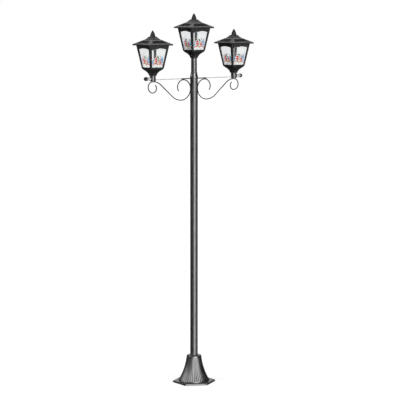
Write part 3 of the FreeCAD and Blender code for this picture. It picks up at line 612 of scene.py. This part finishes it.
# %% Arcs and modifiers
def arc_radius(height, foot, top, sweep, bulge):
    """Radius at a height on the arc between two (height, radius) ends. Bulge is 1 for an arc that
    swells outward and -1 for one that is hollow."""
    (low, wide), (high, narrow) = foot, top
    across, up = narrow - wide, high - low
    chord = math.hypot(across, up)
    away = bulge * math.sqrt(sweep ** 2 - chord ** 2 / 4)
    middle_radius = (wide + narrow) / 2 - up / chord * away
    middle_height = (low + high) / 2 + across / chord * away
    return middle_radius + bulge * math.sqrt(sweep ** 2 - (height - middle_height) ** 2)


def modify(piece, kind, **values):
    """Gives the piece a modifier, to be applied by apply_all."""
    modifier = piece.modifiers.new(kind.lower(), kind)
    for name, value in values.items():
        setattr(modifier, name, value)


def apply_all(piece):
    """Applies the piece's modifiers and its place."""
    clear_selection()
    piece.select_set(True)
    bpy.context.view_layer.objects.active = piece
    for modifier in list(piece.modifiers):
        bpy.ops.object.modifier_apply(modifier=modifier.name)
    bpy.ops.object.transform_apply(location=True, rotation=True, scale=True)


def join_into(piece, others):
    """Makes the others a part of the piece."""
    clear_selection()
    for other in others:
        other.select_set(True)
    piece.select_set(True)
    bpy.context.view_layer.objects.active = piece
    bpy.ops.object.join()


# %% [markdown]
# ## Bell cover
#
# The bell is spun sheet metal with shallow flutes pressed into it. A ring of 144 points is drawn up
# along the arc of the CAD bell, then every third point is pulled in, most at the foot and least
# near the neck. Subdivision rounds the folds into flutes, and a wall is added inward.

# %% Profile of the bell
FLUTES = 48
BELL_POINTS = FLUTES * 3
BELL_NECK, BELL_SHOULDER, BELL_BORE = 36.7, 3.0, 19.3
BELL_LIP, BELL_SWEEP, BELL_WALL = 4.0, 300.0, 1.6
BELL_RIM = [(0, -0.7), (0.5, -0.1), (3.2, -0.1)]            # up from the seat, out from the foot
BELL_CREST = [(-2.6, -0.3), (-0.4, -3.6), (0, -4.4)]        # up from the top, out from the neck
FLUTE_DEPTH, FOOT_DEPTH, DEPTH_FALL = 0.8, 1.5, 1.2
ARC_STEPS = 12
bell_low, bell_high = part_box("base_bell")
bell_foot, bell_top, bell_seat = bell_high.x / MM, bell_high.z / MM, bell_low.z / MM
arc_low, arc_high = bell_seat + BELL_LIP, bell_top - BELL_SHOULDER


def bell_radius(height):
    """Radius of the CAD bell's arc at a height."""
    return arc_radius(height, (arc_low, bell_foot), (arc_high, BELL_NECK), BELL_SWEEP, -1)


steps = [arc_low + (arc_high - arc_low) * i / ARC_STEPS for i in range(ARC_STEPS + 1)]
levels = [(bell_seat + up, bell_foot + out) for up, out in BELL_RIM]
levels += [(z, bell_radius(z)) for z in steps]
levels += [(bell_top + up, BELL_NECK + out) for up, out in BELL_CREST]
levels += [(bell_top, 24), (bell_top, BELL_BORE)]
print("bell: foot %.2f mm, %d levels up to %.1f mm" % (bell_foot, len(levels), bell_top))

# %% Bell
bell = drawn_ring(levels, BELL_POINTS)
for z in steps[:-1]:
    share = (z - steps[0]) / (steps[-1] - steps[0])
    depth = FLUTE_DEPTH + FOOT_DEPTH * (1 - share) ** DEPTH_FALL
    pull_in(z, 1 - depth / bell_radius(z), BELL_POINTS, 3)
end_shaping()
bell.name = "fluted_bell"
modify(bell, "SUBSURF", levels=1, render_levels=1)
modify(bell, "SOLIDIFY", thickness=BELL_WALL * MM, offset=-1)
apply_all(bell)
bpy.ops.object.shade_smooth_by_angle(angle=math.radians(50))
bell.data.materials.append(bell_finish)
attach(bell, "post")
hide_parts("base_bell")
print("bell:", len(bell.data.polygons), "faces,", FLUTES, "flutes")

# %% [markdown]
# ## Beads on the reducer
#
# The cone between the tube and the stem carries a rolled bead at its shoulder and one at its foot.
# Each is a thin torus, as wide as the cone is there. The cone's own points tell where that is, so
# the beads follow the drawing if it changes.

# %% Beads
BEAD = 1.1
SHOULDER_LEAST = 15             # levels that reach less far aren't the cone's outside
BEAD_SINK = 0.35                # share of its radius by which a bead lies in the cone
cone = frame["nodes"]["reducer"].data
reach = {}
for vertex in cone.vertices:
    level = round(vertex.co.z / MM, 1)
    reach[level] = max(reach.get(level, 0), math.hypot(vertex.co.x, vertex.co.y) / MM)
cone_levels = sorted(level for level in reach if reach[level] > SHOULDER_LEAST)
for number, level in enumerate((cone_levels[0] + BEAD, cone_levels[-1] - BEAD)):
    near = min(cone_levels, key=lambda height: abs(height - level))
    clear_selection()
    bpy.ops.mesh.primitive_torus_add(major_segments=64, minor_segments=10, minor_radius=BEAD * MM,
                                     major_radius=(reach[near] - BEAD * BEAD_SINK) * MM,
                                     location=(0, 0, level * MM))
    bead = bpy.context.object
    bead.name = f"reducer_bead_{number}"
    apply_all(bead)
    bpy.ops.object.shade_smooth()
    bead.data.materials.append(bell_finish)
    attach(bead, "post")
print("beads at:", cone_levels[0], cone_levels[-1])

# %% [markdown]
# ## One lantern, three times
#
# The three lanterns are the same moulding, so each extra piece is made once in the lantern's own
# place, with its seat at the origin, and copied to the three seats. The seats are read from the
# joints on which the lanterns turn. What a lantern has on four sides is made once for the front,
# then turned and joined.

# %% Seats, sides and copies
seats = {joint["name"].removeprefix("lantern_turn_"): Vector(joint["pos_m"])
         for joint in frame["joints"] if joint["name"].startswith("lantern_turn_")}


def turn_to_four_sides(piece):
    """Joins to the piece a copy of it for each of the other three sides."""
    front = piece.data.copy()
    for quarter in range(1, 4):
        side = bpy.data.objects.new("side", front.copy())
        scene.collection.objects.link(side)
        side.rotation_euler = (0, 0, quarter * math.pi / 2)
        apply_all(side)
        join_into(piece, [side])


def copy_to_lanterns(piece, name, body, replaced=None):
    """Puts one copy of the piece, with its own mesh, on each lantern, and removes the first."""
    for head, seat in seats.items():
        copy = piece.copy()
        copy.data = piece.data.copy()
        copy.name = f"{name}_{head}"
        scene.collection.objects.link(copy)
        copy.location = seat
        apply_all(copy)
        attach(copy, f"{body}_{head}")
        if replaced:
            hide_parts(f"{replaced}_{head}")
    bpy.data.objects.remove(piece)
    print(name, "on", ", ".join(seats))


print("seats:", {head: tuple(round(c, 4) for c in seat) for head, seat in seats.items()})

# %% [markdown]
# ## Cap and spire
#
# A square cap steps in twice above the roof, and a ribbed bud rises from it. The cap is a square
# drawn up by extruding and scaling, and its edges are bevelled, because a moulding has no sharp
# ones. The bud has eight ribs, so it starts as a ring of sixteen points on the CAD spire's ogive,
# and every second point is pulled in for a groove. Subdivision shrinks a coarse ring, so the ring
# is drawn a little wide.

# %% Cap
ROOF_PEAK = 174.7
CAP = [(ROOF_PEAK, 26.5), (ROOF_PEAK + 1.5, 26.5), (ROOF_PEAK + 7.5, 19.5),
       (ROOF_PEAK + 14.6, 13.6)]
clear_selection()
bpy.ops.mesh.primitive_plane_add(size=CAP[0][1] * 2 * MM, location=(0, 0, CAP[0][0] * MM))
cap = bpy.context.object
draw_up(CAP)
end_shaping()
modify(cap, "BEVEL", width=0.5 * MM, segments=3, limit_method="ANGLE",
       angle_limit=math.radians(12))
apply_all(cap)
print("cap:", len(cap.data.polygons), "faces")

# %% Spire
SPIRE_FOOT, SPIRE_TIP, SPIRE_SWEEP = 13.75, 1.25, 62.0
SPIRE_BASE = CAP[-1][0]
SPIRE_TOP = SPIRE_BASE + 30.6
SPIRE_STEPS = 9
RIBS, RIB_SWELL, GROOVE = 8, 1.08, 0.80


def spire_radius(height):
    """Radius of the CAD spire's arc at a height."""
    return arc_radius(height, (SPIRE_BASE, SPIRE_FOOT), (SPIRE_TOP - 1, SPIRE_TIP),
                      SPIRE_SWEEP, 1)


heights = [SPIRE_BASE + (SPIRE_TOP - 1 - SPIRE_BASE) * i / SPIRE_STEPS
           for i in range(SPIRE_STEPS + 1)]
levels = [(SPIRE_BASE - 0.6, SPIRE_FOOT * 0.95)]
levels += [(z, spire_radius(z) * RIB_SWELL) for z in heights]
levels += [(SPIRE_TOP - 0.25, 0.9), (SPIRE_TOP, 0.35)]
spire = drawn_ring(levels, RIBS * 2, fill="NGON")
for z in heights:
    pull_in(z, GROOVE, RIBS * 2, 2)
end_shaping()
modify(spire, "SUBSURF", levels=2, render_levels=2)
apply_all(spire)
bpy.ops.object.shade_smooth_by_angle(angle=math.radians(60))
join_into(cap, [spire])
cap.data.materials.clear()
cap.data.materials.append(finishes["lantern_shell"])
copy_to_lanterns(cap, "ribbed_finial", "lid", "finial")

# %% [markdown]
# ## Bezels round the solar cells
#
# Each cell lies in a shallow tray, and a thin raised bezel runs round it. It starts as a plane as
# large as the bezel, narrowed at the top like the cell, and an inset cuts the middle out of it. A
# frame of four bars would need mitred corners, which the inset gives for nothing.

# %% The cell's place on the slope
EAVE_TOP, EAVE_HALF, PEAK_HALF = ROOF_PEAK - 22.4, 71.0, 28.5
CELL_LOW, CELL_HIGH, CELL_LOW_WIDTH, CELL_HIGH_WIDTH = 5.0, 16.0, 89.0, 59.0
BEZEL, BEZEL_PROUD = 2.0, 0.9
SIDE_PLAY, END_PLAY = 0.8, 0.4
slope = math.atan2(ROOF_PEAK - EAVE_TOP, EAVE_HALF - PEAK_HALF)
cell_length = (CELL_HIGH - CELL_LOW) / math.sin(slope)
cell_middle = EAVE_TOP + (CELL_LOW + CELL_HIGH) / 2
middle_half = EAVE_HALF - (cell_middle - EAVE_TOP) / math.tan(slope)
low_width, high_width = (width + 2 * BEZEL + SIDE_PLAY
                         for width in (CELL_LOW_WIDTH, CELL_HIGH_WIDTH))
print("slope: %.1f degrees, cell %.1f mm long" % (math.degrees(slope), cell_length))

# %% Cell bezels
clear_selection()
bpy.ops.mesh.primitive_plane_add(size=MM)
bezel = bpy.context.object
bezel.scale = (low_width, cell_length + 2 * BEZEL + END_PLAY, 1)
bpy.ops.object.transform_apply(scale=True)
bpy.ops.object.mode_set(mode="EDIT")
select_points(lambda point: point.y > 0)
bpy.ops.transform.resize(value=(high_width / low_width, 1, 1))
bpy.ops.mesh.select_all(action="SELECT")
bpy.ops.mesh.inset(thickness=BEZEL * MM)
bpy.ops.mesh.delete(type="FACE")
bpy.ops.object.mode_set(mode="OBJECT")
modify(bezel, "SOLIDIFY", thickness=BEZEL_PROUD * MM, offset=1)
modify(bezel, "BEVEL", width=0.3 * MM, segments=2)
bezel.rotation_euler = (slope, 0, 0)
bezel.location = (0, -middle_half * MM, (cell_middle - 0.1) * MM)
apply_all(bezel)
turn_to_four_sides(bezel)
bezel.data.materials.append(finishes["lantern_shell"])
copy_to_lanterns(bezel, "cell_bezels", "lid")

# %% [markdown]
# ## Winter print
#
# The lower half of each pane carries a printed winter picture: snow banks, fir trees with balls, two cottages and
# wrapped boxes, in flat inks over a white underlay, so that it looks white from inside as real prints do. Each ink
# also glows faintly, the underlay most: a painted light that stands in for daylight coming through the film. Inks
# could be masks in the glass's own material, but shapes like these are awkward to write as masks. So the print is
# its own thin film, just proud of the glass, made of flat primitives, which are easy to cut to such shapes and
# stay crisp at any distance.

# %% Inks
INKS = {"red": (0.58, 0.008, 0.016), "green": (0.04, 0.30, 0.10), "blue": (0.10, 0.40, 0.75),
        "black": (0.012, 0.012, 0.014), "yellow": (0.85, 0.52, 0.05), "snow": (0.86, 0.90, 0.92),
        "ice": (0.66, 0.78, 0.86), "white": (0.90, 0.90, 0.90), "brown": (0.16, 0.07, 0.03),
        "underlay": (0.84, 0.85, 0.86)}
# painted glow of the inks and of the underlay, standing in for daylight through the film
INK_PAINTED_GLOW, UNDERLAY_PAINTED_GLOW = 0.05, 0.55
ink_names = list(INKS)


def ink_material(name, color):
    """Screen ink: a flat tone broken by the grain of the screen. It glows faintly in its own tone, a painted light
    that stands in for daylight coming through it; the thin white underlay on the inner side glows most."""
    # painted light: the ink glows by itself, the underlay most
    glow = UNDERLAY_PAINTED_GLOW if name == "underlay" else INK_PAINTED_GLOW
    material, tree, shader = new_finish("ink_" + name, Roughness=0.4, Emission_Strength=glow)
    grain = noise(tree, object_place(tree), 700.0, 2.0)
    thin = (*(value * 0.82 for value in color), 1)
    full = (*(min(1, value * 1.1) for value in color), 1)
    tone = mix_colors(tree, grain, thin, full)
    feed(tree, shader, Base_Color=tone, Emission_Color=tone)
    return material


ink_materials = [ink_material(name, color) for name, color in INKS.items()]
print("inks:", ", ".join(INKS))

# %% [markdown]
# Each shape of the print is a disc, a triangle or a block that lies upright in the plane y = 0. A
# later ink lies on an earlier one, so every shape has a layer, counted from the glass, and moves
# out by a small step for each. Without the steps, shapes in one plane would flicker.

# %% Shapes of ink
LAYER = 0.04                    # from one ink to the next
SIDE_TO_HEIGHT = 1.1547         # of a triangle with three like sides
print_parts = []


def lay(ink, layer):
    """Gives the shape just made its ink and its layer, and keeps it for the print."""
    shape = bpy.context.object
    bpy.ops.object.transform_apply(location=True, rotation=True, scale=True)
    for material in ink_materials:
        shape.data.materials.append(material)
    for face in shape.data.polygons:
        face.material_index = ink_names.index(ink)
    for point in shape.data.vertices:
        point.co.y -= layer * LAYER * MM
    print_parts.append(shape)


def disc(ink, layer, x, z, radius, points=16, wide=1.0, turn=0.0):
    """A round shape, or a triangle or hexagon where it has few points."""
    clear_selection()
    bpy.ops.mesh.primitive_circle_add(vertices=points, radius=radius * MM, fill_type="NGON",
                                      location=(x * MM, 0, z * MM),
                                      rotation=(math.radians(90), math.radians(turn), 0))
    bpy.context.object.scale = (wide, 1, 1)
    lay(ink, layer)


def peak(ink, layer, x, z, radius, width, height):
    """A triangle that points up and is as steep as one of that width and height."""
    disc(ink, layer, x, z, radius, points=3, wide=width / (height * SIDE_TO_HEIGHT))


def block(ink, layer, x, z, width, height, lean=0.0):
    """A rectangle by its middle and size."""
    clear_selection()
    bpy.ops.mesh.primitive_plane_add(size=MM, location=(x * MM, 0, z * MM),
                                     rotation=(math.radians(90), math.radians(lean), 0))
    bpy.context.object.scale = (width, height, 1)
    lay(ink, layer)


# %% [markdown]
# The motifs are functions of a place, a width and a height, and their parts are shares of these.
# So a near cottage and a far one come from the same few lines, and each keeps its proportions.

# %% Trees and boxes
def fir_tree(x, foot, width, height, ink, layer):
    """Three skirts, each with a snowy crown, a trunk and a few balls."""
    block("brown", layer, x, foot + height * 0.06, width * 0.12, height * 0.14)
    for step in range(3):
        half = width / 2 * (1 - step * 0.24)
        middle = foot + height * (0.30 + step * 0.24)
        tall = height * 0.42
        peak(ink, layer + 1 + step, x, middle, tall * 2 / 3, half * 2, tall)
        peak("snow", layer + 2 + step, x, middle + tall * 0.38, tall * 0.24, half * 2, tall)
    for step, side in ((0, -0.26), (0, 0.24), (1, 0.08), (1, -0.18), (2, 0.04)):
        ball = "red" if (step + (side > 0)) % 2 else "yellow"
        disc(ball, layer + 6, x + width * side, foot + height * (0.21 + step * 0.24),
             width * 0.055, 10)


def wrapped_box(x, foot, width, height, paper, ribbon, layer, lean=0.0):
    """A wrapped box with a band each way and a bow of two loops."""
    middle = foot + height / 2
    block(paper, layer, x, middle, width, height, lean)
    block(ribbon, layer + 1, x, middle, width * 0.16, height, lean)
    block(ribbon, layer + 1, x, middle, width, height * 0.15, lean)
    for side in (-1, 1):
        disc(ribbon, layer + 2, x + side * width * 0.15, foot + height * 1.08, width * 0.15, 12,
             1.3)
    disc(ribbon, layer + 3, x, foot + height * 1.05, width * 0.08, 8)


# %% Snow and cottages
def snow_bank(ink, layer, half_low, half_high, height, swell, waves):
    """A strip as wide as the opening, with a rolling top edge."""
    clear_selection()
    bpy.ops.mesh.primitive_grid_add(x_subdivisions=24, y_subdivisions=1, size=MM,
                                    location=(0, 0, height / 2 * MM),
                                    rotation=(math.radians(90), 0, 0))
    strip = bpy.context.object
    strip.scale = (half_low * 2, height, 1)
    bpy.ops.object.transform_apply(location=True, rotation=True, scale=True)
    for point in strip.data.vertices:
        if point.co.z > height / 2 * MM:
            point.co.x *= half_high / half_low
            point.co.z += swell * MM * math.sin(point.co.x / (half_low * MM) * waves + waves)
    lay(ink, layer)


def cottage(x, foot, width, height, layer):
    """A red cottage with white boards, a lit window, a door, a snowy roof and a black chimney."""
    middle = foot + height / 2
    block("black", layer, x + width * 0.24, foot + height * 1.42, width * 0.24, height * 0.66)
    block("red", layer + 1, x, middle, width, height)
    for side in (-0.44, 0.44):
        block("white", layer + 2, x + width * side, middle, width * 0.12, height)
    for level in (0.06, 0.94):
        block("white", layer + 2, x, foot + height * level, width, height * 0.10)
    block("white", layer + 2, x - width * 0.20, middle, width * 0.28, height * 0.42)
    block("yellow", layer + 3, x - width * 0.20, middle, width * 0.17, height * 0.28)
    block("white", layer + 2, x + width * 0.20, foot + height * 0.30, width * 0.23, height * 0.52)
    block("green", layer + 3, x + width * 0.20, foot + height * 0.29, width * 0.17, height * 0.46)
    tall = height * 0.62
    peak("red", layer + 1, x, foot + height + tall / 3, tall * 2 / 3, width, tall)
    for side in (-1, 1):
        block("snow", layer + 3, x + side * width * 0.29, foot + height + tall * 0.44,
              width * 0.70, height * 0.17, side * math.degrees(math.atan2(tall, width * 0.56)))


# %% [markdown]
# The picture is then laid from the back to the front: an icy hill, three firs, the near snow, the
# cottages and the boxes, with stars and falling snow above. The flakes are strewn by a seeded
# draw, so each run gives the same sky.

# %% The picture
OPENING_HALF, OPENING_FLARE = 28, 0.14
FLAKES = 26
snow_bank("ice", 0, half_low=28.9, half_high=31.6, height=20, swell=2.0, waves=3.1)
for x, foot, width, height, ink in ((25.5, 16, 14, 43, "blue"), (-25.5, 16, 12, 32, "blue"),
                                    (1.5, 18, 14, 42, "green")):
    fir_tree(x, foot, width, height, ink, layer=1)
snow_bank("snow", 10, half_low=28.9, half_high=30.8, height=17, swell=1.6, waves=4.4)
cottage(-11.5, 14.0, width=25, height=23.5, layer=12)
cottage(12.5, 12.5, width=18, height=17.0, layer=18)
wrapped_box(-24.5, 11.0, 7, 8, "red", "white", layer=24)
wrapped_box(1.2, 10.0, 7, 7, "yellow", "red", layer=24, lean=5)
wrapped_box(25.5, 10.5, 7, 8, "red", "white", layer=24, lean=-4)
for x, z, size in ((-25, 56, 2.0), (-9, 62, 1.7), (14, 57, 1.8)):
    disc("yellow", 1, x, z, size, 3)
    disc("yellow", 2, x, z, size, 3, turn=180)
draws = random.Random(7)
for _ in range(FLAKES):
    z = draws.uniform(26, 66)
    x = draws.uniform(-1, 1) * (OPENING_HALF + z * OPENING_FLARE)
    disc("snow", 0, x, z, draws.uniform(0.45, 0.95), 8)
print("motifs:", len(print_parts))

# %% [markdown]
# The film gets its thickness from a Solidify modifier, whose back takes the last ink, the
# underlay. It is then leaned to the slope of the pane and set on its outer face, whose place is
# read from the CAD panes, and turned to the four sides.

# %% One film
film = print_parts[0]
join_into(film, print_parts)
film.name = "winter_film"
modify(film, "SOLIDIFY", thickness=0.03 * MM, offset=1, material_offset=len(INKS))
apply_all(film)
print("film:", len(film.data.polygons), "faces")

# %% Film on the four panes
FRAME_FOOT, SILL = 36.3, 4.5
PRINT_FOOT = FRAME_FOOT + SILL + 0.4
FILM_GAP = 0.06
outer = {}
for vertex in frame["nodes"]["panes_center"].data.vertices:
    point = vertex.co - seats["center"]
    level = round(point.z / MM)
    outer[level] = min(outer.get(level, 0), point.y)
low, high = min(outer), max(outer)
lean = math.atan2(outer[low] - outer[high], (high - low) * MM)
print_foot_y = outer[low] + (outer[high] - outer[low]) * (PRINT_FOOT - low) / (high - low)
film.rotation_euler = (lean, 0, 0)
film.location = (0, print_foot_y - FILM_GAP * MM, PRINT_FOOT * MM)
apply_all(film)
turn_to_four_sides(film)
print("pane: z %s..%s mm, lean %.2f degrees" % (low, high, math.degrees(lean)))
copy_to_lanterns(film, "winter_print", "lantern")
